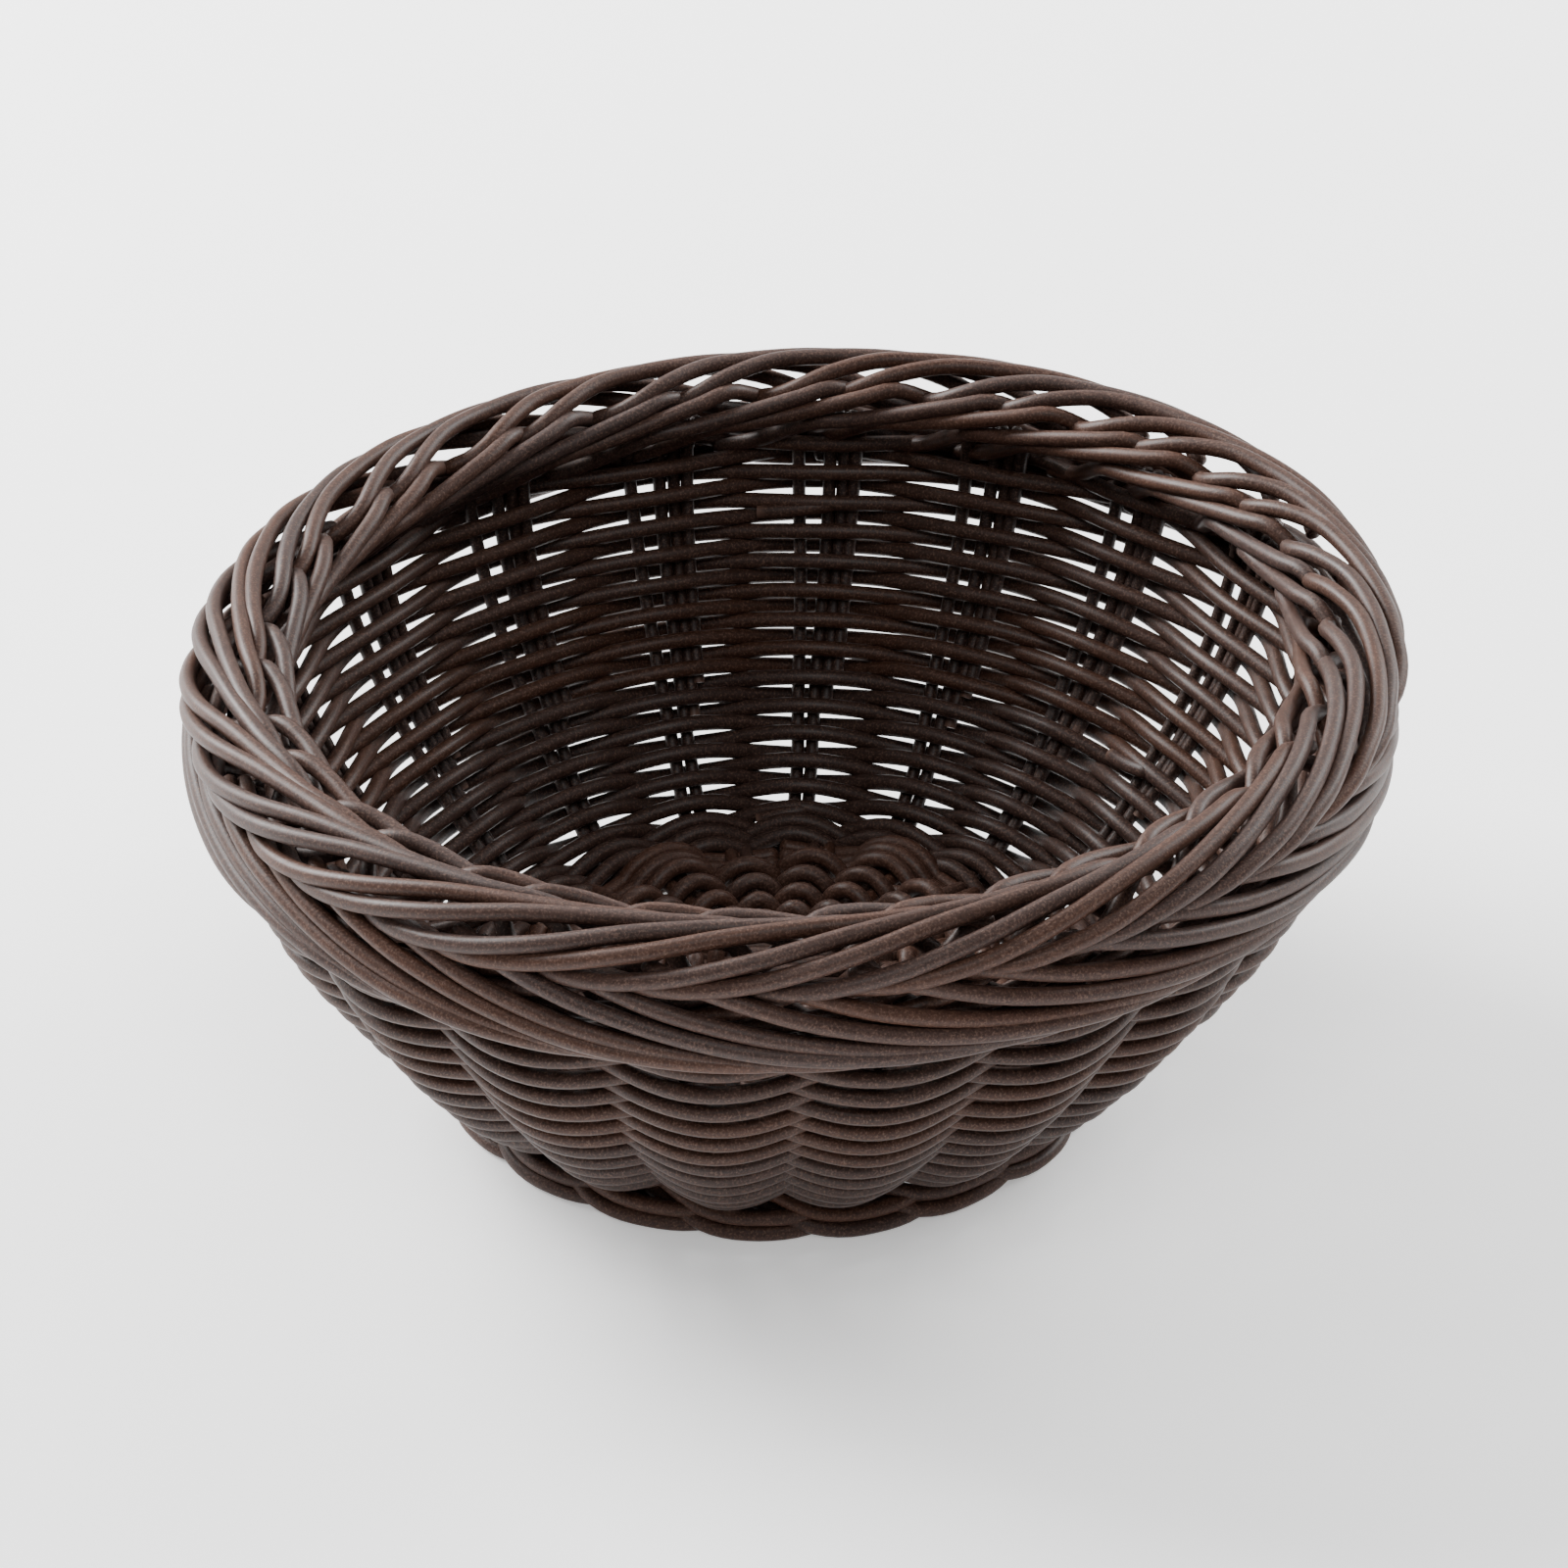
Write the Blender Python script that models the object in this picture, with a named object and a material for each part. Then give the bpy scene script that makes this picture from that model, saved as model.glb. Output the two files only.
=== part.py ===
"""Round woven fruit basket: paired stakes, plain-woven wall, rolled border, woven base and foot.

Units are metres, +Z is up and the basket stands on z = 0. Its widest circle, the outside of the
border, is centred on the Z axis. Every strand of the real basket is a solid round one, STRAND thick.
"""
import math

import bmesh
import bpy
from mathutils import Vector
from mathutils.geometry import interpolate_bezier

# Overall size.
RIM_RADIUS = 0.115           # outside of the border
RIM_MID_Z = 0.0884           # middle height of the border
BORDER_HALF_WIDTH = 0.0107   # radial half-width of the rolled border
BORDER_HALF_HEIGHT = 0.0080
RIM_RISE = 0.030             # the border stands higher towards +X, per metre of x
SET_OVER = 0.0040            # the foot sits this far towards -X of the border's centre

# Strands and clearances.
STRAND = 0.0030
GAP = 0.0003                 # clearance between neighbouring solids

# Stake groups. Their odd number lets one weaver run round and round and alternate by itself.
GROUPS = 19
FIRST_GROUP_ANGLE = math.radians(85.9)
ANGLE_DRIFT = math.radians(2.8)      # the groups opposite the first stand this much wider apart
STAKE_WIDTH_LOW = 2 * STRAND + GAP   # two stakes side by side
STAKE_WIDTH_HIGH = 0.0126            # four stakes, where the extra ones are pushed in
EXTRA_STAKES_FROM = 0.50             # fraction of the wall's length where they start
EXTRA_STAKES_FULL = 0.62             # fraction of the wall's length where all four stand
STAKE_THICKNESS = STRAND - GAP
STAKE_STATIONS = 16
STAKE_FOOT_TRIM = 2 * GAP
STAKE_TOP_EXTRA = 0.0012     # the stakes run on this far above the weave, into the border's underside

# Wall weave.
ROWS = 27
FIRST_ROW_FROM = 0.0006      # the weave starts this far up the middle line
WEAVE_SWING = STRAND + GAP           # how far a weaver stands off the stakes' middle line
ROW_HEIGHT = STRAND - 0.0002

# Middle line of the wall in (radius, z): a flat base edge, then a curve up to the border.
BASE_EDGE = (0.0500, 0.0125)
BASE_EDGE_PULL = (0.0540, 0.0122)
CORNER_PULL_IN = (0.0580, 0.0120)
CORNER = (0.0615, 0.0121)
CORNER_PULL_OUT = (0.0700, 0.0128)
TOP_PULL = (0.1010, 0.0500)
WALL_TOP = (0.1053, 0.0775)
PROFILE_SAMPLES = 48
DIRECTION_REACH = 0.0016     # the line's direction is read between points this far to either side

# Foot and base.
FOOT_INNER = 0.0585
FOOT_OUTER = 0.0660
FOOT_HEIGHT = 0.0068
FOOT_EDGE = 0.0012
BASE_RING_EDGES = (0.0, 0.0160, 0.0270, 0.0380, 0.0482)
BASE_HALF_THICKNESS = 0.0022
BASE_DOME = 0.0025
RING_STEPS = 60
BORDER_ARC_STEPS = 6
WELD = 1e-7
SMOOTH_ANGLE = math.radians(40)

# Colours of the matte plastic strands, as linear RGB.
COLOURS = {
    "weaver_strand": (0.060, 0.036, 0.029),
    "stake_strand": (0.045, 0.027, 0.023),
    "border_strand": (0.085, 0.054, 0.044),
    "base_strand": (0.050, 0.030, 0.025),
}
ROUGHNESS = 0.62


class Profile:
    """The wall's middle line, measured by its length from the base edge."""

    def __init__(self):
        lower = (BASE_EDGE, BASE_EDGE_PULL, CORNER_PULL_IN, CORNER)
        upper = (CORNER, CORNER_PULL_OUT, TOP_PULL, WALL_TOP)
        self.points = self.sample(lower) + self.sample(upper)[1:]
        self.lengths = [0.0]
        for before, after in zip(self.points, self.points[1:]):
            self.lengths.append(self.lengths[-1] + (after - before).length)
        self.length = self.lengths[-1]

    @staticmethod
    def sample(corners):
        knots = [Vector((radius, z, 0.0)) for radius, z in corners]
        return interpolate_bezier(knots[0], knots[1], knots[2], knots[3], PROFILE_SAMPLES)

    def at(self, distance):
        """Radius and z at a length along the line, which runs on straight past its ends."""
        index = 0
        while index < len(self.points) - 2 and self.lengths[index + 1] < distance:
            index += 1
        step = self.lengths[index + 1] - self.lengths[index]
        fraction = (distance - self.lengths[index]) / step
        point = self.points[index].lerp(self.points[index + 1], fraction)
        return point.x, point.y

    def direction(self, distance):
        """Unit vector along the line, as (radius, z)."""
        before = self.at(distance - DIRECTION_REACH)
        after = self.at(distance + DIRECTION_REACH)
        return Vector((after[0] - before[0], after[1] - before[1])).normalized()


def group_angle(place):
    """Angle about Z of a place counted in stake groups."""
    turn = math.tau * place / GROUPS
    return FIRST_GROUP_ANGLE + turn + ANGLE_DRIFT * (1 - math.cos(turn))


def settle(point):
    """Lean the true round basket a little, as its maker left it. The ground stays where it is."""
    share = point.z / RIM_MID_Z
    return Vector((point.x + SET_OVER * (share - 1), point.y, point.z + RIM_RISE * point.x * share))


def wall_point(profile, place, distance, outwards, along):
    """A point on the wall: place in groups, length up the wall, and offsets off its middle line."""
    radius, z = profile.at(distance)
    tangent = profile.direction(distance)
    radius += tangent.y * outwards + tangent.x * along
    z += tangent.y * along - tangent.x * outwards
    angle = group_angle(place)
    return settle(Vector((radius * math.cos(angle), radius * math.sin(angle), z)))


def make_material(name):
    material = bpy.data.materials.new(name)
    material.use_nodes = True
    shader = material.node_tree.nodes["Principled BSDF"]
    shader.inputs["Base Color"].default_value = (*COLOURS[name], 1.0)
    shader.inputs["Roughness"].default_value = ROUGHNESS
    shader.inputs["Metallic"].default_value = 0.0
    return material


def finish_object(name, bm, material):
    bmesh.ops.recalc_face_normals(bm, faces=bm.faces)
    if bm.calc_volume(signed=True) < 0:
        bmesh.ops.reverse_faces(bm, faces=bm.faces)
    mesh = bpy.data.meshes.new(name)
    bm.to_mesh(mesh)
    bm.free()
    mesh.materials.append(material)
    mesh.shade_smooth()
    mesh.set_sharp_from_angle(angle=SMOOTH_ANGLE)
    piece = bpy.data.objects.new(name, mesh)
    bpy.context.scene.collection.objects.link(piece)
    return piece


def straight_bar(segments):
    """A unit bar along X, cut into segments, whose points are then bent into place."""
    bm = bmesh.new()
    bmesh.ops.create_cube(bm, size=1.0)
    long_edges = [edge for edge in bm.edges if abs(edge.verts[0].co.x - edge.verts[1].co.x) > 0.5]
    bmesh.ops.subdivide_edges(bm, edges=long_edges, cuts=segments - 1)
    return bm


def stake_width(share):
    """Width of a stake group at a share of the wall's length."""
    blend = (share - EXTRA_STAKES_FROM) / (EXTRA_STAKES_FULL - EXTRA_STAKES_FROM)
    blend = min(1.0, max(0.0, blend))
    return STAKE_WIDTH_LOW + (STAKE_WIDTH_HIGH - STAKE_WIDTH_LOW) * blend


def build_stake_group(profile, index, material):
    """One group of upright stakes, from the edge of the base to the underside of the border."""
    bm = straight_bar(STAKE_STATIONS)
    start = STAKE_FOOT_TRIM
    end = profile.length + STAKE_TOP_EXTRA
    for vertex in bm.verts:
        distance = start + (end - start) * (vertex.co.x + 0.5)
        radius, _ = profile.at(distance)
        half_arc = math.tau * radius / GROUPS
        place = index + vertex.co.y * stake_width(distance / profile.length) / half_arc
        vertex.co = wall_point(profile, place, distance, vertex.co.z * STAKE_THICKNESS, 0.0)
    return finish_object(f"stake_group_{index + 1:02d}", bm, material)


def row_pitch(profile):
    """Rise of the weaver in one turn, along the middle line."""
    return (profile.length - FIRST_ROW_FROM) / ROWS


def weaver_distance(profile, row, place):
    """Length up the middle line at a place, counted in groups, of one turn of the weaver."""
    return FIRST_ROW_FROM + row_pitch(profile) * (row + place / GROUPS)


def row_stations(profile, row):
    """Places and sides that one turn of the weaver passes, as (place, side) pairs."""
    radius, _ = profile.at(weaver_distance(profile, row, GROUPS / 2))
    spacing = math.tau * radius / GROUPS
    end_trim = GAP / spacing
    stations = [(0.5 + end_trim, 0)]
    for group in range(1, GROUPS + 1):
        share = weaver_distance(profile, row, group) / profile.length
        reach = (stake_width(share) / 2 + STRAND / 2) / spacing
        side = 1 if (group + row) % 2 else -1
        stations.append((group - reach, side))
        stations.append((group + reach, side))
    stations.append((GROUPS + 0.5 - end_trim, 0))
    return stations


def build_weave_row(profile, row, material):
    """One turn of the weaver: in front of one group and behind the next, rising by one pitch."""
    stations = row_stations(profile, row)
    bm = straight_bar(len(stations) - 1)
    for vertex in bm.verts:
        place, side = stations[round((vertex.co.x + 0.5) * (len(stations) - 1))]
        distance = weaver_distance(profile, row, place)
        outwards = side * WEAVE_SWING + vertex.co.z * STRAND
        vertex.co = wall_point(profile, place, distance, outwards, vertex.co.y * ROW_HEIGHT)
    return finish_object(f"weave_row_{row + 1:02d}", bm, material)


def spin_outline(name, outline, material):
    """Turn (radius, z) points about Z: into a disc if they start on the axis, else into a ring."""
    is_disc = outline[0][0] == 0.0
    bm = bmesh.new()
    corners = [bm.verts.new((radius, 0.0, z)) for radius, z in outline]
    ends = corners[1:] if is_disc else corners[1:] + corners[:1]
    edges = [bm.edges.new(pair) for pair in zip(corners, ends)]
    bmesh.ops.spin(bm, geom=corners + edges, cent=(0, 0, 0), axis=(0, 0, 1), angle=math.tau,
                   steps=RING_STEPS, use_merge=True, use_duplicate=False)
    bmesh.ops.remove_doubles(bm, verts=bm.verts, dist=WELD)
    for vertex in bm.verts:
        vertex.co = settle(vertex.co)
    return finish_object(name, bm, material)


def build_border(material):
    """The rolled border as two half-round rings, the outer and the inner half of the roll."""
    middle = RIM_RADIUS - BORDER_HALF_WIDTH
    for name, side in (("border_outer_roll", 1), ("border_inner_roll", -1)):
        outline = []
        for step in range(BORDER_ARC_STEPS + 1):
            angle = math.pi * (step / BORDER_ARC_STEPS - 0.5)
            reach = GAP / 2 + (BORDER_HALF_WIDTH - GAP / 2) * math.cos(angle)
            outline.append((middle + side * reach, RIM_MID_Z + BORDER_HALF_HEIGHT * math.sin(angle)))
        spin_outline(name, outline, material)


def build_foot(material):
    """The foot border that the basket stands on, flat underneath."""
    outline = [
        (FOOT_INNER, 0.0),
        (FOOT_OUTER - FOOT_EDGE, 0.0),
        (FOOT_OUTER, FOOT_EDGE),
        (FOOT_OUTER, FOOT_HEIGHT - FOOT_EDGE),
        (FOOT_OUTER - FOOT_EDGE, FOOT_HEIGHT),
        (FOOT_INNER, FOOT_HEIGHT),
    ]
    spin_outline("foot_border", outline, material)


def base_height(radius):
    """Middle height of the slightly domed base at a radius."""
    return BASE_EDGE[1] + BASE_DOME * (1 - (radius / BASE_EDGE[0]) ** 2)


def build_base(material):
    """The woven base: a round core, where the stakes cross, and rings of weave about it."""
    for index, (inner, outer) in enumerate(zip(BASE_RING_EDGES, BASE_RING_EDGES[1:])):
        inner_edge = inner + GAP if inner else 0.0
        outline = [
            (inner_edge, base_height(inner_edge) - BASE_HALF_THICKNESS),
            (outer, base_height(outer) - BASE_HALF_THICKNESS),
            (outer, base_height(outer) + BASE_HALF_THICKNESS),
            (inner_edge, base_height(inner_edge) + BASE_HALF_THICKNESS),
        ]
        spin_outline(f"base_ring_{index:02d}" if inner else "base_core", outline, material)


def build_basket():
    for old in list(bpy.data.objects):
        bpy.data.objects.remove(old, do_unlink=True)
    materials = {name: make_material(name) for name in COLOURS}
    profile = Profile()
    for index in range(GROUPS):
        build_stake_group(profile, index, materials["stake_strand"])
    for row in range(ROWS):
        build_weave_row(profile, row, materials["weaver_strand"])
    build_border(materials["border_strand"])
    build_foot(materials["base_strand"])
    build_base(materials["base_strand"])


build_basket()
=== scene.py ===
"""The looks of the woven fruit basket: every strand of its wall, border, base and foot, its plastic,
and the studio that shows it.

Sizes are in millimetres and angles in degrees, unless a name says otherwise. A strand's points are
turned into metres as its mesh is made. Angles about the basket run anticlockwise seen from above.
"""
import logging
import math
import random
from collections.abc import Callable, Iterable, Sequence
from dataclasses import dataclass, field
from enum import Enum
from typing import ClassVar

import bmesh
import bpy
from mathutils import Matrix, Vector, noise
from mathutils.geometry import interpolate_bezier


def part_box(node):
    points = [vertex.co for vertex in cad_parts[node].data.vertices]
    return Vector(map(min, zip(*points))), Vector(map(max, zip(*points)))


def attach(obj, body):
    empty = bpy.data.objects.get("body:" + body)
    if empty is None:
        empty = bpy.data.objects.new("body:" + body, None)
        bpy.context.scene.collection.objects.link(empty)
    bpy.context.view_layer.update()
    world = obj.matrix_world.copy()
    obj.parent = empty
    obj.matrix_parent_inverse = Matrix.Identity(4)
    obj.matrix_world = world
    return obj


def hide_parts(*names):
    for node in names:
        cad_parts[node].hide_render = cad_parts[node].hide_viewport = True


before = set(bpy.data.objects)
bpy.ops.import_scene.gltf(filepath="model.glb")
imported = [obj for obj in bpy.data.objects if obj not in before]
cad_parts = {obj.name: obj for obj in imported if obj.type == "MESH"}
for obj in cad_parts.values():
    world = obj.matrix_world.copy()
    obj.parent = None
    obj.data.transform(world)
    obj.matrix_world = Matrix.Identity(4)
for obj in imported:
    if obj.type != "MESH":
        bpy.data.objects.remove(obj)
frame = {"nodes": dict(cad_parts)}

LOG = logging.getLogger("basket")
METRES = 0.001
BODY = "root"
# Without a seed, the noise that shakes the strands would differ from one run to the next.
HAND_SEED = 7

Number = float | int
Section = tuple[float, float]
Stop = tuple[float, float, float]


# --------------------------------------------------------------------------------------------------
# Form
# --------------------------------------------------------------------------------------------------

def rows_of(nodes: dict[str, bpy.types.Object], start: str) -> list[str]:
    """Names of the CAD nodes that begin with a word, in order."""
    return sorted(name for name in nodes if name.startswith(start))


def box_mm(node: str) -> tuple[Vector, Vector]:
    """A CAD node's lowest and highest corners, in millimetres."""
    low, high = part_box(node)
    return low / METRES, high / METRES


class WallLine:
    """The wall's middle line, measured by its length from the base's edge up to the border."""

    BASE_STRETCH = ((50.0, 12.5), (54.0, 12.2), (58.0, 12.0), (61.5, 12.1))
    WALL_STRETCH = ((61.5, 12.1), (70.0, 12.8), (101.0, 50.0), (105.3, 77.5))
    SAMPLES = 60
    REACH = 1.6

    def __init__(self) -> None:
        """Lay the two curves end to end and measure them."""
        self.points = self.sample(self.BASE_STRETCH) + self.sample(self.WALL_STRETCH)[1:]
        self.lengths = [0.0]
        for before, after in zip(self.points, self.points[1:]):
            self.lengths.append(self.lengths[-1] + (after - before).length)
        self.length = self.lengths[-1]

    @classmethod
    def sample(cls, corners: Sequence[tuple[float, float]]) -> list[Vector]:
        """Points along a Bezier curve with four (radius, height) corners."""
        return interpolate_bezier(*(Vector((*corner, 0.0)) for corner in corners), cls.SAMPLES)

    def at(self, distance: float) -> Vector:
        """Radius and height at a length along the line, which runs on straight past its ends.

        Args:
            distance: the length along the line.

        Returns:
            The place, as (radius, height, 0).
        """
        index = 0
        while index < len(self.points) - 2 and self.lengths[index + 1] < distance:
            index += 1
        step = self.lengths[index + 1] - self.lengths[index]
        fraction = (distance - self.lengths[index]) / step
        return self.points[index].lerp(self.points[index + 1], fraction)

    def direction(self, distance: float) -> Vector:
        """Unit vector along the line, as (radius, height)."""
        ahead = self.at(distance + self.REACH)
        return (ahead - self.at(distance - self.REACH)).normalized()


@dataclass(frozen=True)
class BasketForm:
    """The basket's overall form, read off the CAD model, and the places that its strands follow."""

    groups: int
    turns: int
    rim_radius: float
    rim_height: float
    roll_half_width: float
    roll_half_height: float
    rim_rise: float
    foot_shift: float
    foot_outer: float
    wall: WallLine = field(default_factory=WallLine)
    first_group: float = 85.9
    group_drift: float = 2.8
    ROLL_HEIGHT: ClassVar[float] = 16.0

    @classmethod
    def from_frame(cls, nodes: dict[str, bpy.types.Object]) -> "BasketForm":
        """Read the form off the CAD nodes.

        Args:
            nodes: the CAD nodes by name.

        Returns:
            The basket's form.
        """
        outer_low, outer_high = box_mm("border_outer_roll")
        inner_low, inner_high = box_mm("border_inner_roll")
        foot_low, foot_high = box_mm("foot_border")
        rim_radius = (outer_high.x - outer_low.x) / 2
        inner_radius = (inner_high.x - inner_low.x) / 2
        roll_half_width = rim_radius - inner_radius
        height = outer_high.z - outer_low.z
        rise = (height - cls.ROLL_HEIGHT) / (2 * inner_radius)
        return cls(
            groups=len(rows_of(nodes, "stake_group_")),
            turns=len(rows_of(nodes, "weave_row_")),
            rim_radius=rim_radius,
            rim_height=(outer_low.z + outer_high.z) / 2,
            roll_half_width=roll_half_width,
            roll_half_height=cls.ROLL_HEIGHT / 2,
            rim_rise=rise,
            foot_shift=-(foot_low.x + foot_high.x) / 2,
            foot_outer=(foot_high.x - foot_low.x) / 2,
        )

    def seam(self) -> float:
        """Where a turn of the weave begins, as a part of a turn: halfway between two groups."""
        return 0.5 / self.groups

    def group_angle(self, place: float) -> float:
        """Angle in radians of a place counted in stake groups."""
        turn = math.tau * place / self.groups
        return math.radians(self.first_group + self.group_drift * (1 - math.cos(turn))) + turn

    def settle(self, point: Vector) -> Vector:
        """Lean the true round basket a little, as its maker left it. The ground stays level.

        Args:
            point: a point of the true round basket.

        Returns:
            Its settled place.
        """
        share = point.z / self.rim_height
        return Vector((
            point.x + self.foot_shift * (share - 1),
            point.y,
            point.z + self.rim_rise * point.x * share,
        ))

    def ring_point(self, angle: float, radius: float, height: float) -> Vector:
        """The settled point at an angle in radians, a radius and a height."""
        return self.settle(Vector((radius * math.cos(angle), radius * math.sin(angle), height)))

    def wall_point(self, place: float, distance: float, outwards: float, along: float = 0.0) -> Vector:
        """A point on the wall.

        Args:
            place: place round the wall, in stake groups.
            distance: length up the wall's middle line.
            outwards: offset off the middle line, away from the basket's inside.
            along: further offset up the wall.

        Returns:
            The settled point.
        """
        line = self.wall.at(distance)
        tangent = self.wall.direction(distance)
        radius = line.x + tangent.y * outwards + tangent.x * along
        height = line.y + tangent.y * along - tangent.x * outwards
        return self.ring_point(self.group_angle(place), radius, height)


# --------------------------------------------------------------------------------------------------
# Strands
# --------------------------------------------------------------------------------------------------

class StrandEnd(Enum):
    """How a strand's end looks."""

    TUCKED = "tucked away, so only rounded off"
    CUT = "snipped square, with its paler core showing"
    JOINED = "flush against the next length of the same strand"


def through(stops: Sequence[Stop], spacing: float) -> list[Vector]:
    """A smooth line through a few stops.

    Args:
        stops: (angle in degrees, radius, height) of each stop.
        spacing: rough distance between the line's points.

    Returns:
        Points (angle in degrees, radius, height) along the line.
    """
    knots = [Vector(stop) for stop in stops]
    knots = [2 * knots[0] - knots[1]] + knots + [2 * knots[-1] - knots[-2]]
    line = []
    for first, a, b, last in zip(knots, knots[1:], knots[2:], knots[3:]):
        arc = math.radians(b.x - a.x) * (a.y + b.y) / 2
        steps = max(2, round(math.hypot(arc, b.y - a.y, b.z - a.z) / spacing))
        for step in range(steps):
            t = step / steps
            line.append(0.5 * (2 * a + (b - first) * t + (2 * first - 5 * a + 4 * b - last) * t * t
                               + (3 * a - first - 3 * b + last) * t ** 3))
    line.append(knots[-2])
    return line


def hand_shake(point: Vector, seed: float, reach: float, amount: float) -> Vector:
    """A small smooth shift that a maker's hand leaves in a strand.

    Args:
        point: where on the strand.
        seed: tells one strand's shifts from another's.
        reach: distance over which the shift changes.
        amount: its size.

    Returns:
        The shift.
    """
    return noise.noise_vector(point / reach + Vector((seed, 1.7 * seed, -seed))) * amount


@dataclass
class Strand:
    """One solid round strand: its path in millimetres and how it looks."""

    path: list[Vector]
    radius: float
    tint: float
    start: StrandEnd = StrandEnd.TUCKED
    finish: StrandEnd = StrandEnd.TUCKED
    measured_from: float = 0.0
    tint_at: Callable[[float], float] | None = None


@dataclass
class Ring:
    """One ring of a strand's skin."""

    centre: Vector
    direction: Vector
    radius: float
    length: float
    cut: float


class StrandBundle:
    """Gathers strands into the mesh of one piece.

    Each point of the skin carries strand_place, its place round and along its strand, strand_tint,
    the strand's own shade from 0 to 1, and cut_face, which is 1 on a snipped end.
    """

    SIDES = 12
    END_RINGS = {
        StrandEnd.TUCKED: ((0.0, 0.0), (0.10, 0.50), (0.40, 0.86)),
        StrandEnd.CUT: ((0.0, 0.0), (0.0, 0.55), (0.03, 0.90)),
        StrandEnd.JOINED: ((0.0, 0.0), (0.0, 1.0)),
    }
    WELD = 1e-8
    CREASE = math.radians(50)

    def __init__(self) -> None:
        """Start an empty mesh with its three attributes."""
        self.bm = bmesh.new()
        self.place = self.bm.verts.layers.float_vector.new("strand_place")
        self.tint = self.bm.verts.layers.float.new("strand_tint")
        self.cut = self.bm.verts.layers.float.new("cut_face")

    def end_rings(self, strand: Strand, kind: StrandEnd, at_start: bool) -> list[Ring]:
        """The rings that close one end of a strand, from the tip inwards.

        Args:
            strand: the strand.
            kind: how that end looks.
            at_start: whether it is the first end or the last.

        Returns:
            The rings.
        """
        tip, inner = (strand.path[0], strand.path[1]) if at_start else (strand.path[-1], strand.path[-2])
        inwards = (inner - tip).normalized()
        rings = []
        for depth, width in self.END_RINGS[kind]:
            centre = tip + inwards * depth * strand.radius
            direction = inwards if at_start else -inwards
            cut = 1.0 if kind is StrandEnd.CUT else 0.0
            rings.append(Ring(centre, direction, width * strand.radius, 0.0, cut))
        return rings

    def rings(self, strand: Strand) -> list[Ring]:
        """All the rings of a strand's skin, in order.

        Args:
            strand: the strand.

        Returns:
            The rings, from its first tip to its last.
        """
        path = strand.path
        middle = []
        length = 0.0
        for before, point, after in zip(path, path[1:], path[2:]):
            length += (point - before).length
            direction = ((point - before).normalized() + (after - point).normalized()).normalized()
            middle.append(Ring(point, direction, strand.radius, length, 0.0))
        total = length + (path[-1] - path[-2]).length
        opening = self.end_rings(strand, strand.start, True)
        closing = self.end_rings(strand, strand.finish, False)
        for ring in closing:
            ring.length = total
        return opening + middle + closing[::-1]

    def lay(self, strand: Strand) -> None:
        """Add one strand.

        Args:
            strand: the strand to lay into this bundle.
        """
        rings = self.rings(strand)
        grid = bmesh.ops.create_grid(self.bm, x_segments=self.SIDES, y_segments=len(rings) - 1, size=1.0)
        corners = grid["verts"]
        normal = rings[0].direction.orthogonal().normalized()
        previous = rings[0].direction
        for row, ring in enumerate(rings):
            normal.rotate(previous.rotation_difference(ring.direction))
            normal = (normal - ring.direction * normal.dot(ring.direction)).normalized()
            across = ring.direction.cross(normal)
            previous = ring.direction
            length = strand.measured_from + ring.length
            tint = strand.tint_at(length) if strand.tint_at else strand.tint
            for column in range(self.SIDES + 1):
                corner = corners[row * (self.SIDES + 1) + column]
                turn = math.tau * (column % self.SIDES) / self.SIDES
                spoke = normal * math.cos(turn) + across * math.sin(turn)
                corner.co = (ring.centre + spoke * ring.radius) * METRES
                corner[self.place] = Vector((math.cos(turn), math.sin(turn), length / strand.radius))
                corner[self.tint] = tint
                corner[self.cut] = ring.cut
        bmesh.ops.remove_doubles(self.bm, verts=corners, dist=self.WELD)

    def finish(self, name: str, material: bpy.types.Material) -> bpy.types.Object:
        """Turn the bundle into a finished piece.

        Args:
            name: the piece's name.
            material: its material.

        Returns:
            The piece, at the origin, with its place in its mesh.
        """
        bmesh.ops.recalc_face_normals(self.bm, faces=self.bm.faces)
        mesh = bpy.data.meshes.new(name)
        self.bm.to_mesh(mesh)
        self.bm.free()
        mesh.materials.append(material)
        mesh.shade_smooth()
        mesh.set_sharp_from_angle(angle=self.CREASE)
        piece = bpy.data.objects.new(name, mesh)
        bpy.context.scene.collection.objects.link(piece)
        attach(piece, BODY)
        return piece


def report(piece: bpy.types.Object) -> None:
    """Log one finished piece."""
    LOG.info("%s: %d faces", piece.name, len(piece.data.polygons))


# --------------------------------------------------------------------------------------------------
# Finishes
# --------------------------------------------------------------------------------------------------

class Value:
    """A shader socket that takes part in Python arithmetic."""

    def __init__(self, sketch: "ShaderSketch", socket: bpy.types.NodeSocket) -> None:
        """Wrap a socket of a sketch."""
        self.sketch = sketch
        self.socket = socket

    def __add__(self, other: "Value | Number") -> "Value":
        """Sum."""
        return self.sketch.maths("ADD", self, other)

    __radd__ = __add__

    def __mul__(self, other: "Value | Number") -> "Value":
        """Product."""
        return self.sketch.maths("MULTIPLY", self, other)

    __rmul__ = __mul__

    def __sub__(self, other: "Value | Number") -> "Value":
        """Difference."""
        return self.sketch.maths("SUBTRACT", self, other)

    def __rsub__(self, other: "Value | Number") -> "Value":
        """Difference from a number."""
        return self.sketch.maths("SUBTRACT", other, self)

    def clamped(self) -> "Value":
        """This value kept between 0 and 1."""
        return self.sketch.node("ShaderNodeClamp", {}, {"Value": self})


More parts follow.
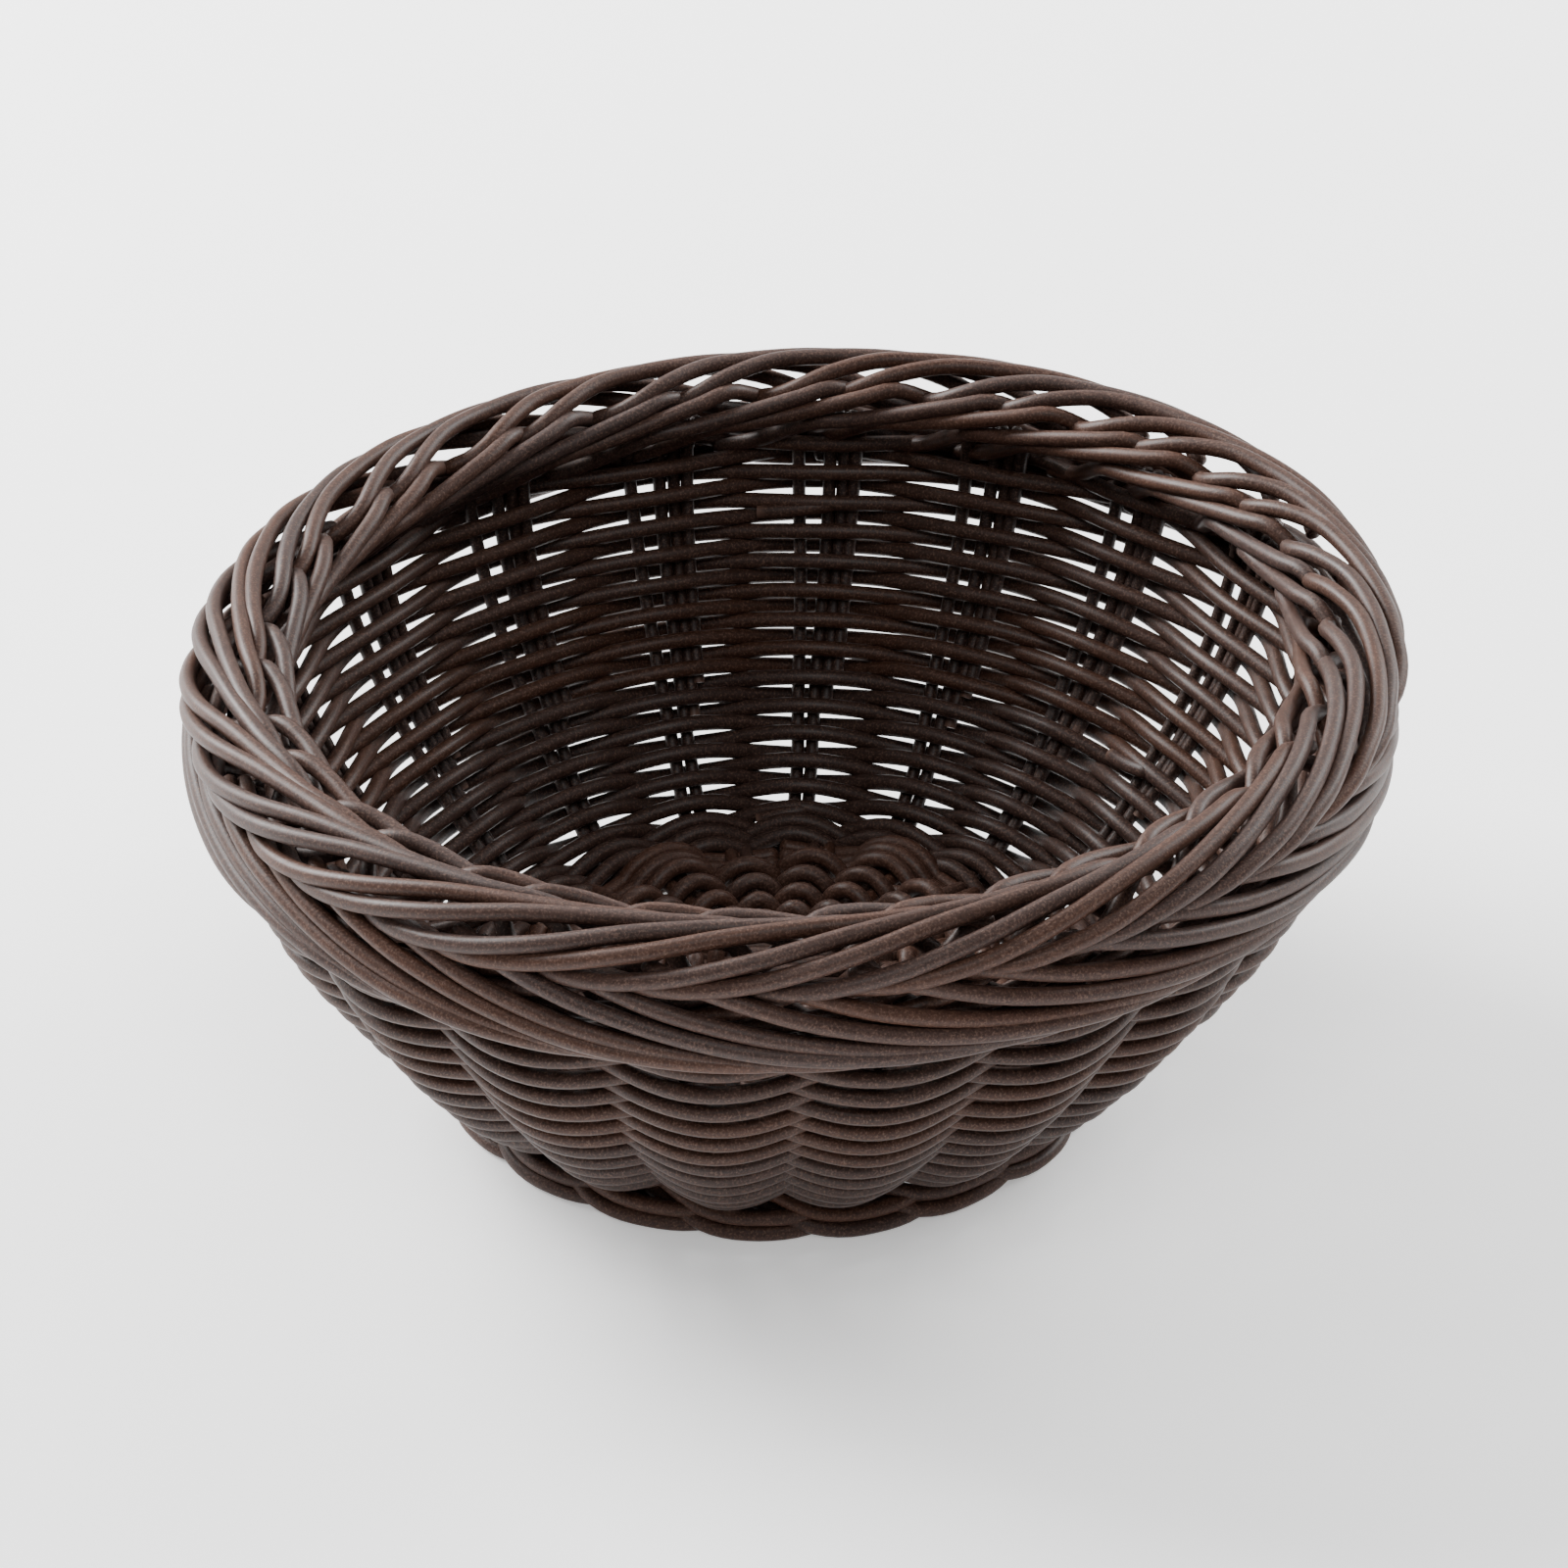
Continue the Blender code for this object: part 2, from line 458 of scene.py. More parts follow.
class ShaderSketch:
    """A new material with one Principled shader, drawn by expressions."""

    def __init__(self, name: str) -> None:
        """Start the material."""
        self.material = bpy.data.materials.new(name)
        self.material.use_nodes = True
        self.tree = self.material.node_tree
        self.shader = self.tree.nodes["Principled BSDF"]

    def node(self, kind: str, settings: dict, inputs: dict, output: str | int = 0) -> Value:
        """Add any node.

        Args:
            kind: the node's type.
            settings: its properties, set before its sockets.
            inputs: values or links by socket name or number.
            output: the socket to hand back.

        Returns:
            The output socket, wrapped.
        """
        made = self.tree.nodes.new(kind)
        for name, setting in settings.items():
            setattr(made, name, setting)
        for key, value in inputs.items():
            self.feed(made.inputs[key], value)
        return Value(self, made.outputs[output])

    def feed(self, socket: bpy.types.NodeSocket, value: "Value | Number | Sequence[float]") -> None:
        """Link a value to a socket, or set the socket to a plain number or colour."""
        if isinstance(value, Value):
            self.tree.links.new(value.socket, socket)
        else:
            socket.default_value = value

    def maths(self, operation: str, *values: "Value | Number") -> Value:
        """Add a Math node."""
        return self.node("ShaderNodeMath", {"operation": operation}, dict(enumerate(values)))

    def attribute(self, name: str, output: str) -> Value:
        """Read an attribute of the piece."""
        settings = {"attribute_type": "GEOMETRY", "attribute_name": name}
        return self.node("ShaderNodeAttribute", settings, {}, output)

    def scaled(self, vector: Value, scale: Sequence[float]) -> Value:
        """Multiply a vector by a scale, axis by axis."""
        return self.node("ShaderNodeVectorMath", {"operation": "MULTIPLY"}, {0: vector, 1: scale})

    def grain(self, vector: Value, scale: float, detail: float, roughness: float = 0.5) -> Value:
        """Noise from 0 to 1."""
        inputs = {"Vector": vector, "Scale": scale, "Detail": detail, "Roughness": roughness}
        return self.node("ShaderNodeTexNoise", {}, inputs, "Fac")

    def spread(self, value: Value, low: float, high: float) -> Value:
        """Stretch a range of values over 0 to 1, and clamp."""
        inputs = {"Value": value, "From Min": low, "From Max": high}
        return self.node("ShaderNodeMapRange", {"clamp": True}, inputs)

    def blend(self, amount: "Value | Number", first: object, second: object) -> Value:
        """Mix two colours, each a value or an RGB triple.

        Args:
            amount: share of the second colour.
            first: the first colour.
            second: the second colour.

        Returns:
            The mixed colour.
        """
        made = self.tree.nodes.new("ShaderNodeMix")
        made.data_type = "RGBA"
        by_name = {(s.name, s.type): s for s in made.inputs}
        self.feed(by_name["Factor", "VALUE"], amount)
        for label, colour in (("A", first), ("B", second)):
            self.feed(by_name[label, "RGBA"], colour if isinstance(colour, Value) else (*colour, 1.0))
        return Value(self, next(s for s in made.outputs if s.type == "RGBA"))


@dataclass(frozen=True)
class StrandPlastic:
    """Matte extruded plastic with a fine speckle, faint lengthwise streaks and a shade per strand.

    A mark fades in from the first value of its range of noise to the second.
    """

    name: str
    warm: tuple[float, float, float]
    cool: tuple[float, float, float]
    deep: tuple[float, float, float]
    core: tuple[float, float, float] = (0.105, 0.058, 0.042)
    dusty: tuple[float, float, float] = (0.27, 0.17, 0.13)
    roughness: float = 0.50
    specular: float = 0.25
    speckle: float = 0.50
    streak: float = 0.25
    patch: float = 0.22
    bump: float = 0.35
    bump_depth: float = 0.00022
    grain_scale: float = 2300.0
    patch_scale: float = 420.0
    fleck_range: tuple[float, float] = (0.52, 0.70)
    pit_range: tuple[float, float] = (0.47, 0.30)
    streak_range: tuple[float, float] = (0.62, 0.36)
    patch_range: tuple[float, float] = (0.62, 0.35)

    def make(self) -> bpy.types.Material:
        """Build the material.

        Returns:
            The material.
        """
        sketch = ShaderSketch(self.name)
        place = sketch.attribute("strand_place", "Vector")
        tint = sketch.attribute("strand_tint", "Fac")
        cut = sketch.attribute("cut_face", "Fac")
        position = sketch.node("ShaderNodeTexCoord", {}, {}, "Object")

        along = sketch.grain(sketch.scaled(place, (1.1, 1.1, 0.03)), 2.2, 3.0)
        drift = sketch.grain(sketch.scaled(place, (0.25, 0.25, 0.05)), 1.0, 2.0)
        grain = sketch.grain(position, self.grain_scale, 2.0, 0.6)
        patches = sketch.grain(position, self.patch_scale, 3.0, 0.6)

        shade = (tint * 0.85 + drift * 0.55 - 0.2).clamped()
        colour = sketch.blend(shade, self.warm, self.cool)
        streaks = sketch.spread(along, *self.streak_range) * self.streak
        dark = streaks + sketch.spread(patches, *self.patch_range) * self.patch
        colour = sketch.blend(dark.clamped(), colour, self.deep)
        flecks = sketch.spread(grain, *self.fleck_range) * self.speckle
        colour = sketch.blend(flecks, colour, self.fleck_colour())
        pits = sketch.spread(grain, *self.pit_range) * self.speckle
        colour = sketch.blend(pits, colour, self.deep)
        colour = sketch.blend(cut, colour, self.core)
        sketch.feed(sketch.shader.inputs["Base Color"], colour)

        rough = (grain - 0.5) * 0.35 + (along - 0.5) * 0.3 + self.roughness
        sketch.feed(sketch.shader.inputs["Roughness"], rough.clamped())
        height = grain * 0.55 + patches * 0.35 + along * 0.5
        bump = {"Strength": self.bump, "Distance": self.bump_depth, "Height": height}
        sketch.feed(sketch.shader.inputs["Normal"], sketch.node("ShaderNodeBump", {}, bump, "Normal"))
        sketch.shader.inputs["Specular IOR Level"].default_value = self.specular
        return sketch.material

    def fleck_colour(self) -> tuple[float, ...]:
        """The pale colour of the speckle, halfway between the warm shade and the dusty one."""
        return tuple(0.5 * warm + 0.5 * dusty for warm, dusty in zip(self.warm, self.dusty))


class Finish(Enum):
    """The finishes of the basket's strands."""

    WEAVER = StrandPlastic(
        name="weaver_strand",
        warm=(0.049, 0.0185, 0.0095),
        cool=(0.037, 0.020, 0.016),
        deep=(0.006, 0.003, 0.002),
    )
    STAKE = StrandPlastic(
        name="stake_strand",
        warm=(0.030, 0.0125, 0.0075),
        cool=(0.024, 0.014, 0.012),
        deep=(0.005, 0.002, 0.002),
    )
    BORDER = StrandPlastic(
        name="border_strand",
        warm=(0.063, 0.026, 0.015),
        cool=(0.045, 0.027, 0.023),
        deep=(0.009, 0.004, 0.003),
    )
    BASE = StrandPlastic(
        name="base_strand",
        warm=(0.064, 0.025, 0.0135),
        cool=(0.049, 0.027, 0.0215),
        deep=(0.009, 0.004, 0.003),
    )


# --------------------------------------------------------------------------------------------------
# Sub-assemblies
# --------------------------------------------------------------------------------------------------

@dataclass
class StakeGroups:
    """The upright stakes: two beside each other in each group, and two more pushed in halfway up."""

    form: BasketForm
    radius: float = 1.36
    spacing: float = 2.4
    low_offsets: tuple[float, ...] = (1.45, -1.45, -3.4, -4.6)
    high_offsets: tuple[float, ...] = (5.9, -0.6, -3.6, -6.2)
    starts: tuple[float, ...] = (0.0, 0.0, 0.40, 0.47)
    depths: tuple[float, ...] = (0.0, 0.0, 0.25, -0.35)
    spread_from: float = 0.30
    run_on: float = 7.0
    sideways_lean: float = 0.25
    inwards_lean: float = 0.35
    shake: float = 0.5
    shake_reach: float = 30.0

    def offset(self, index: int, share: float) -> float:
        """Sideways place of a stake in its group at a share of the wall's length.

        Args:
            index: which stake of the group.
            share: how far up the wall, from 0 to 1.

        Returns:
            Its distance from the group's middle.
        """
        blend = min(1.0, max(0.0, (share - self.spread_from) / (1 - self.spread_from)))
        return self.low_offsets[index] + (self.high_offsets[index] - self.low_offsets[index]) * blend

    def path(self, group: int, index: int) -> list[Vector]:
        """The path of one stake, which leans over under the border past the wall's end.

        Args:
            group: which group, from 0.
            index: which stake of the group.

        Returns:
            The path.
        """
        wall = self.form.wall
        start = self.starts[index] * wall.length
        end = wall.length + self.run_on
        steps = round((end - start) / self.spacing)
        points = []
        for step in range(steps + 1):
            distance = start + (end - start) * step / steps
            share = distance / wall.length
            over = max(0.0, distance - wall.length)
            arc = math.tau * wall.at(distance).x / self.form.groups
            place = group + (self.offset(index, share) - self.sideways_lean * over) / arc
            point = self.form.wall_point(place, distance, self.depths[index] - self.inwards_lean * over)
            points.append(point + hand_shake(point, group + 0.3 * index, self.shake_reach, self.shake))
        return points

    def build(self, finish: Finish) -> list[bpy.types.Object]:
        """Build one piece for each group.

        Args:
            finish: the stakes' finish.

        Returns:
            The pieces.
        """
        material = finish.value.make()
        shades = random.Random(11)
        pieces = []
        for group in range(self.form.groups):
            bundle = StrandBundle()
            for index in range(len(self.starts)):
                end = StrandEnd.CUT if self.starts[index] else StrandEnd.TUCKED
                bundle.lay(Strand(self.path(group, index), self.radius, shades.random(), start=end))
            piece = bundle.finish(f"stakes_{group + 1:02d}", material)
            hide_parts(f"stake_group_{group + 1:02d}")
            pieces.append(piece)
        return pieces


@dataclass
class WallWeave:
    """The wall's weaver: one spiral that passes outside one stake group and inside the next.

    It has more turns than the CAD has rows, so some rows stand for two turns.
    """

    form: BasketForm
    radius: float = 1.65
    turns: int = 31
    steps: int = 13
    outward_swing: float = 3.8
    inward_swing: float = 3.3
    first: float = 0.6
    pitch_growth: float = 0.08
    strand_turns: float = 4.6
    tail: float = 0.50
    tail_steps: int = 8
    tail_start: float = 0.2
    tail_drop: float = 2.0
    tail_lean: float = 0.7
    shake: float = 0.4
    shake_reach: float = 24.0
    shades: list[float] = field(default_factory=list)

    def distance(self, turns: float) -> float:
        """Length up the wall after a number of turns. The lower turns are packed more tightly.

        Args:
            turns: turns from the base's edge.

        Returns:
            The length along the wall's middle line.
        """
        share = turns / self.turns
        share *= 1 + self.pitch_growth * (share - 1)
        return self.first + (self.form.wall.length - self.first) * share

    def point(self, turns: float) -> Vector:
        """The weaver's place after a number of turns from the base's edge.

        Args:
            turns: turns from the base's edge.

        Returns:
            The settled point.
        """
        place = turns * self.form.groups
        wave = math.cos(math.pi * place)
        swing = self.outward_swing if wave > 0 else self.inward_swing
        point = self.form.wall_point(place, self.distance(turns), wave * swing)
        return point + hand_shake(point, 1.3 * turns, self.shake_reach, self.shake)

    def splices(self) -> list[float]:
        """Where each length of weaver gives way to the next, in turns, always on the inside.

        Returns:
            The splices, in order.
        """
        chance = random.Random(5)
        places = []
        at = 0.0
        while at < self.turns:
            at += self.strand_turns * chance.uniform(0.7, 1.3)
            group = 2 * round(at * self.form.groups / 2) + 1
            places.append(group / self.form.groups)
            at = places[-1]
        return places

    def shade_after(self, turns: float, splices: Sequence[float]) -> float:
        """The shade of the length of weaver that lies at a number of turns."""
        return self.shades[sum(1 for splice in splices if splice <= turns)]

    def shade_along(self, begun: float, length: float, whole: float,
                    splices: Sequence[float]) -> Callable[[float], float]:
        """How the shade of one turn changes along it.

        Args:
            begun: where the turn begins, in turns.
            length: where it begins, as a length from the weave's start.
            whole: the turn's length.
            splices: where each length of weaver gives way to the next, in turns.

        Returns:
            The shade as a function of the length from the weave's start.
        """
        return lambda at: self.shade_after(begun + (at - length) / whole, splices)

    def tail_strand(self, splice: float, shade: float) -> Strand:
        """The snipped end of a length of weaver, which lies along the next length, inside the wall.

        Args:
            splice: where the length ends, in turns.
            shade: its shade.

        Returns:
            The strand.
        """
        path = []
        for step in range(self.tail_steps + 1):
            t = step / self.tail_steps
            place = splice * self.form.groups + self.tail * (t - self.tail_start)
            turns = place / self.form.groups
            swing = math.cos(math.pi * place) * self.inward_swing
            rise = -self.tail_drop * t * (2 - t)
            path.append(self.form.wall_point(place, self.distance(turns), swing - self.tail_lean * t, rise))
        return Strand(path, self.radius, shade, finish=StrandEnd.CUT)

    def build(self, finish: Finish) -> list[bpy.types.Object]:
        """Build one piece for each turn.

        Args:
            finish: the weaver's finish.

        Returns:
            The pieces.
        """
        material = finish.value.make()
        splices = self.splices()
        chance = random.Random(23)
        self.shades = [chance.random() for _ in range(len(splices) + 1)]
        per_turn = self.steps * self.form.groups
        length = 0.0
        pieces = []
        for turn in range(self.turns):
            bundle = StrandBundle()
            begun = turn + self.form.seam()
            path = [self.point(begun + step / per_turn) for step in range(per_turn + 1)]
            whole = sum((after - before).length for before, after in zip(path, path[1:]))
            start = StrandEnd.JOINED if turn else StrandEnd.TUCKED
            end = StrandEnd.JOINED if turn < self.turns - 1 else StrandEnd.TUCKED
            shade = self.shade_along(begun, length, whole, splices)
            bundle.lay(Strand(path, self.radius, 0.0, start, end, measured_from=length, tint_at=shade))
            for index, splice in enumerate(splices):
                if begun <= splice < begun + 1:
                    bundle.lay(self.tail_strand(splice, self.shades[index]))
            length += whole
            piece = bundle.finish(f"weaver_turn_{turn + 1:02d}", material)
            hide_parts(f"weave_row_{1 + turn * self.form.turns // self.turns:02d}")
            pieces.append(piece)
        return pieces


@dataclass
class Border:
    """The rolled border, made of the stakes' bent-over ends.

    Each stake's end forms the inner band and dives outwards, another run of it comes over the top
    as an arc, and a third lies along the outside, over the wall's last turns.
    """

    form: BasketForm
    radius: float = 1.66
    spacing: float = 2.2
    per_group: int = 2
    pair_gap: float = 7.6
    shake: float = 0.45
    shake_reach: float = 34.0
    front_dive: float = 108.0
    back_dive: float = 140.0
    front_end: float = -16.0
    back_end: float = 26.0
    front_stretch: float = 0.46
    back_turn: float = 10.0
    back_reach: float = 1.25
    second_drop: float = 0.9
    seed_step: float = 0.61
    run_seed_step: float = 7.3
    group_length: float = 200.0
    run_length: float = 60.0

    def section(self, around: float, depth: float) -> Section:
        """A place in the roll's section.

        Args:
            around: degrees round the roll, from its outside up over its top.
            depth: 0 at the roll's middle and 1 at the strands that form its skin.

        Returns:
            Its radius and height.
        """
        form = self.form
        middle = form.rim_radius - form.roll_half_width
        reach = Vector((form.roll_half_width - self.radius, form.roll_half_height - self.radius)) * depth
        turn = math.radians(around)
        return middle + reach.x * math.cos(turn), form.rim_height + reach.y * math.sin(turn)

    def backness(self, angle: float) -> float:
        """How far a place belongs to the border's back, where the arcs stand more steeply."""
        share = 0.5 + 0.5 * math.sin(math.radians(angle + self.back_turn))
        return min(1.0, self.back_reach * share)

    def band(self, angle: float) -> list[Stop]:
        """Stops of a run of the inner band, clockwise from its stake, which ends behind the arcs.

        Args:
            angle: where its stake stands.

        Returns:
            The stops.
        """
        section = self.section
        return self.turned(angle, -1, (
            (-5, (107.2, 75.6)), (-0.5, (104.2, 78.2)), (5.5, section(206, 0.98)),
            (10.5, section(192, 1.03)), (15.5, section(176, 1.08)), (20, section(161, 1.12)),
            (23.5, section(150, 1.11)), (27, section(136, 0.95)), (30.5, (102.0, 89.6)),
            (34.5, (105.6, 85.4)), (40, (108.6, 82.0)), (47, (109.4, 79.0)), (55, (108.0, 76.5)),
        ))

    def arc(self, angle: float) -> list[Stop]:
        """Stops of a run over the top, clockwise from under the inner band to behind the outer runs.

        Args:
            angle: where its stake stands.

        Returns:
            The stops.
        """
        section = self.section
        back = self.backness(angle)
        front = 1 - back
        dive = self.front_dive + (self.back_dive - self.front_dive) * back
        last = self.front_end + (self.back_end - self.front_end) * back
        stretch = 1 + self.front_stretch * front
        ways = (
            (-1, section(dive + 14, 0.34)), (1.5, section(dive + 7, 0.68)), (4, section(dive - 7, 0.95)),
            (7.5, section(0.66 * dive + 20, 1.07)), (12.5, section(86, 1.08)), (18, section(69, 1.05)),
            (24, section(0.5 * last + 42, 1.04)), (29, section(0.8 * last + 17, 1.02)),
            (33, section(last, 1.0)), (36, section(last - 13 - 3 * back, 0.88 + 0.12 * back)),
            (39.5, section(last - 30 - 4 * back, 0.62 + 0.32 * back)),
            (43, section(last - 46 - 12 * back, 0.50 + 0.30 * back)),
        )
        return self.turned(angle, -1, [(turn * stretch, place) for turn, place in ways])

    def outer(self, angle: float, second: int) -> list[Stop]:
        """Stops of a run on the outside, anticlockwise from under an arc down over the wall's last turns.

        Args:
            angle: where its stake stands.
            second: 1 for the second stake of a group, whose run lies lower, or 0.

        Returns:
            The stops.
        """
        low = self.second_drop * second
        front = 1 - self.backness(angle)
        return self.turned(angle, 1, (
            (-6 * front, (111.0 - 2.4 * front, 80.6 + 8.4 * front)),
            (3 - 3 * front, (112.2 - low, 81.4 + 5.5 * front)), (7, (113.1 - low, 81.0 + 1.6 * front)),
            (12, (113.2 - low, 79.9)), (18, (113.0 - low, 77.1)), (25, (112.8 - low, 74.6)),
            (32, (112.5 - low, 72.8)), (39, (112.0 - low, 71.6)), (46, (110.9 - low, 71.2)),
            (52, (109.0 - low, 72.0)), (57, (106.5, 73.6)),
        ))

    @staticmethod
    def turned(angle: float, sense: int, ways: Sequence[tuple[float, Section]]) -> list[Stop]:
        """Place (turn, (radius, height)) pairs round the basket from an angle."""
        return [(angle + sense * turn, radius, height) for turn, (radius, height) in ways]

    def path(self, stops: Sequence[Stop], seed: float) -> list[Vector]:
        """The path of one run, with a little unevenness.

        Args:
            stops: the stops of the run.
            seed: tells this run's unevenness from another's.

        Returns:
            The path.
        """
        points = []
        for turn, radius, height in through(stops, self.spacing):
            point = self.form.ring_point(math.radians(turn), radius, height)
            points.append(point + hand_shake(point, seed, self.shake_reach, self.shake))
        return points

    def build(self, finish: Finish) -> list[bpy.types.Object]:
        """Build one piece for each stake group's strands.

        Args:
            finish: the border's finish.

        Returns:
            The pieces.
        """
        material = finish.value.make()
        shades = random.Random(31)
        pieces = []
        for group in range(self.form.groups):
            bundle = StrandBundle()
            for second in range(self.per_group):
                angle = math.degrees(self.form.group_angle(group)) + second * self.pair_gap
                seed = self.seed_step * (group * self.per_group + second)
                runs = (self.band(angle), self.arc(angle), self.outer(angle, second))
                for run, stops in enumerate(runs):
                    path = self.path(stops, seed + self.run_seed_step * run)
                    begun = self.group_length * group + self.run_length * run
                    bundle.lay(Strand(path, self.radius, shades.random(), measured_from=begun))
            piece = bundle.finish(f"border_strands_{group + 1:02d}", material)
            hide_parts("border_outer_roll", "border_inner_roll")
            pieces.append(piece)
        return pieces


@dataclass
class Foot:
    """The foot border: the stakes' lower ends, laid in pairs of long overlapping lobes."""

    form: BasketForm
    radius: float = 1.6
    spacing: float = 2.0
    strands: int = 2
    step: float = 3.1
    step_inwards: float = 0.6
    shake: float = 0.5
    shake_reach: float = 18.0
    group_length: float = 90.0

    def stops(self, angle: float, row: int) -> list[Stop]:
        """The stops of one strand of a lobe.

        Args:
            angle: where the group stands.
            row: which strand of the lobe. Row 0 is the lowest.

        Returns:
            The stops.
        """
        outer = self.form.foot_outer - self.radius - self.step_inwards * row
        low = self.radius + self.step * row
        return [
            (angle - 17, outer - 6.4, low + 4.6),
            (angle - 12, outer - 3.8, low + 3.6),
            (angle - 6, outer - 1.2, low + 1.4),
            (angle, outer - 0.1, low + 0.2),
            (angle + 6, outer, low),
            (angle + 12, outer - 0.8, low),
            (angle + 18, outer - 2.9, low + 0.5),
            (angle + 24, outer - 5.4, low + 1.4),
            (angle + 29, outer - 7.4, low + 2.2),
        ]

    def path(self, group: int, row: int) -> list[Vector]:
        """The path of one strand of a group's lobe, which the shake never pushes into the ground.

        Args:
            group: which group, from 0.
            row: which strand of the lobe.

        Returns:
            The path.
        """
        angle = math.degrees(self.form.group_angle(group))
        points = []
        for turn, radius, height in through(self.stops(angle, row), self.spacing):
            point = self.form.ring_point(math.radians(turn), radius, height)
            shift = hand_shake(point, group + row * 0.4, self.shake_reach, self.shake)
            points.append(point + Vector((shift.x, shift.y, abs(shift.z))))
        return points

    def build(self, finish: Finish) -> list[bpy.types.Object]:
        """Build the foot.

        Args:
            finish: the foot's finish.

        Returns:
            The piece, in a list.
        """
        bundle = StrandBundle()
        shades = random.Random(47)
        for group in range(self.form.groups):
            begun = self.group_length * group
            for row in range(self.strands):
                bundle.lay(Strand(self.path(group, row), self.radius, shades.random(), measured_from=begun))
        piece = bundle.finish("foot_strands", finish.value.make())
        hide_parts("foot_border")
        return [piece]


@dataclass
class Base:
    """The woven base: stakes that run out from the middle, and strands arched over them."""

    form: BasketForm
    radius: float = 1.7
    steps: int = 12
    inner: float = 11.5
    outer: float = 52.0
    turns: int = 11
    arch: float = 4.2
    flatness: float = 0.7
    dip: float = 1.3
    skew: float = -6.0
    middle_height: float = 13.6
    dome: float = 2.5
    bundled_turns: int = 3
    turn_length: float = 300.0
    just_short: float = 1e-6
    shake: float = 0.6
    shake_reach: float = 14.0
    stake_radius: float = 1.5
    stake_start: float = 7.0
    stake_step: float = 3.3
    stake_steps: int = 15
    stake_pair: float = 1.55
    stake_taper: float = 0.1
    heart_lanes: int = 3
    heart_gap: float = 3.05
    heart_reach: float = 12.5
    heart_half_steps: int = 4
    heart_lift: float = 1.5
    heart_sag: float = 0.002

    def height(self, radius: float) -> float:
        """Middle height of the slightly domed base."""
        return self.middle_height + self.dome * (1 - (radius / self.outer) ** 2)

    def angle(self, place: float) -> float:
        """Angle in radians of a place counted in stake groups, turned a little against the wall."""
        return self.form.group_angle(place) + math.radians(self.skew)

    def weaver_point(self, turns: float) -> Vector:
        """A weaver's place after a number of turns from the middle.

        The last turns all arch over the same stakes, in a bundle.

        Args:
            turns: turns from the middle.

        Returns:
            The settled point.
        """
        radius = self.inner + (self.outer - self.inner) * turns / self.turns
        place = turns * self.form.groups
        phase = place
        bundled = turns - self.form.seam() - (self.turns - self.bundled_turns)
        if bundled > 0:
            phase = place + math.floor(bundled) % 2
        wave = math.cos(math.pi * phase)
        rise = self.arch * wave**self.flatness if wave > 0 else self.dip * wave
        point = self.form.ring_point(self.angle(place), radius, self.height(radius) + rise)
        return point + hand_shake(point, turns * 1.9, self.shake_reach, self.shake)

    def build(self, finish: Finish) -> list[bpy.types.Object]:
        """Build the base's weave and the stakes that carry it.

        Args:
            finish: the base's finish.

        Returns:
            The pieces.
        """
        material = finish.value.make()
        return [self.weave(material, finish), self.spokes(material, finish), self.heart(material, finish)]

    def weave(self, material: bpy.types.Material, finish: Finish) -> bpy.types.Object:
        """The strands that arch over and under the base's stakes.

        Args:
            material: the base's material.
            finish: its finish, which is not used.

        Returns:
            The piece.
        """
        shades = random.Random(61)
        bundle = StrandBundle()
        per_turn = self.steps * self.form.groups
        for turn in range(self.turns):
            begun = turn + self.form.seam()
            path = [self.weaver_point(begun + step / per_turn) for step in range(per_turn)]
            path.append(self.weaver_point(begun + 1.0 - self.just_short))
            bundle.lay(Strand(path, self.radius, shades.random(), measured_from=self.turn_length * turn))
        piece = bundle.finish("base_weave", material)
        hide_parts("base_ring_01", "base_ring_02", "base_ring_03")
        return piece

    def spoke_path(self, group: int, side: int) -> list[Vector]:
        """The path of one of a group's two base stakes, level once it is past the weave.

        Args:
            group: which group, from 0.
            side: -1 or 1.

        Returns:
            The path.
        """
        path = []
        for step in range(self.stake_steps):
            radius = self.stake_start + self.stake_step * step
            half = min(self.stake_pair, self.stake_taper * radius)
            angle = self.angle(group) + side * half / radius
            path.append(self.form.ring_point(angle, radius, self.height(min(radius, self.outer))))
        return path

    def spokes(self, material: bpy.types.Material, finish: Finish) -> bpy.types.Object:
        """The base's stakes, two in each group, which run on under the wall's first turns.

        Args:
            material: the base's material.
            finish: its finish, which is not used.

        Returns:
            The piece.
        """
        shades = random.Random(67)
        bundle = StrandBundle()
        for group in range(self.form.groups):
            for side in (-1, 1):
                bundle.lay(Strand(self.spoke_path(group, side), self.stake_radius, shades.random()))
        piece = bundle.finish("base_stakes", material)
        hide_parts("base_core")
        return piece

    def heart_path(self, layer: int, lane: int) -> list[Vector]:
        """The path of one crossed stake. Layer 1 lies under layer 0, at right angles to it.

        Args:
            layer: 0 or 1.
            lane: its place beside the middle one, which is lane 0.

        Returns:
            The path.
        """
        path = []
        for step in range(2 * self.heart_half_steps + 1):
            along = self.heart_reach * (step / self.heart_half_steps - 1)
            height = self.height(0.0) + self.heart_lift * (1 - 2 * layer) - self.heart_sag * along * along
            point = Vector((along, lane * self.heart_gap, height))
            point.rotate(Matrix.Rotation(layer * math.pi / 2, 3, "Z"))
            path.append(self.form.settle(point))
        return path

    def heart(self, material: bpy.types.Material, finish: Finish) -> bpy.types.Object:
        """The middle of the base, where a few stakes lie side by side across each other.

        Args:
            material: the base's material.
            finish: its finish, which is not used.

        Returns:
            The piece.
        """
        shades = random.Random(71)
        bundle = StrandBundle()
        for layer in range(2):
            for lane in range(-self.heart_lanes, self.heart_lanes + 1):
                bundle.lay(Strand(self.heart_path(layer, lane), self.stake_radius, shades.random()))
        piece = bundle.finish("base_heart", material)
        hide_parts("base_core")
        return piece


# --------------------------------------------------------------------------------------------------
# Studio
# --------------------------------------------------------------------------------------------------

